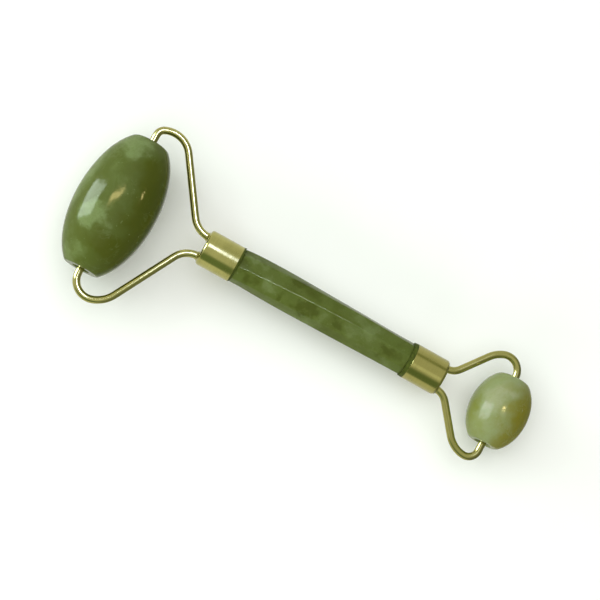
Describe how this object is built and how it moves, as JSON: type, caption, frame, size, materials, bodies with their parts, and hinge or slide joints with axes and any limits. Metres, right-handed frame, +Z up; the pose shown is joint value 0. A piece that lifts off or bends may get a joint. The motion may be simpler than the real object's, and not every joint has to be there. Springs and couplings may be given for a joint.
{
  "type": "face roller",
  "caption": "Hand-held face roller: an octagonal jade handle with a brass ferrule and bent wire frame at each end, carrying a large and a small barrel-shaped stone roller that spin.",
  "frame": {"origin": "on the table under the middle of the box round the object, as it lies on both rollers", "axes": "+X along the handle towards the small roller, +Y along the roller axes, +Z up, out of the plane of the wire frames; the handle slopes down by 1.5 degrees towards the small roller"},
  "size_m": [0.1432, 0.0548, 0.0237],
  "materials": {
    "jade_dark": "polished, cloudy, slightly translucent green",
    "jade_handle": "polished, cloudy, slightly translucent green",
    "jade_light": "polished, cloudy, pale green",
    "brass": "polished",
    "braze": "satin",
    "adhesive": "set epoxy, dark",
    "bush": "moulded, dark"
  },
  "bodies": {
    "handle_frame": {"handle": "jade_handle", "large_ferrule": "brass", "small_ferrule": "brass", "large_wire_frame": "brass", "small_wire_frame": "brass", "large_frame_braze": "braze", "small_frame_braze": "braze", "large_ferrule_adhesive": "adhesive", "small_ferrule_adhesive": "adhesive"},
    "large_roller": {"large_roller": "jade_dark", "large_bush_upper": "bush", "large_bush_lower": "bush"},
    "small_roller": {"small_roller": "jade_light", "small_bush_upper": "bush", "small_bush_lower": "bush"}
  },
  "joints": [
    {"name": "large_roller_spin", "type": "hinge", "parent": "handle_frame", "child": "large_roller", "pos_m": [-0.05976, 0.00023, 0.01185], "axis": [0, 1, 0], "continuous": true},
    {"name": "small_roller_spin", "type": "hinge", "parent": "handle_frame", "child": "small_roller", "pos_m": [0.06294, 0.00223, 0.00867], "axis": [0, 1, 0], "continuous": true}
  ]
}
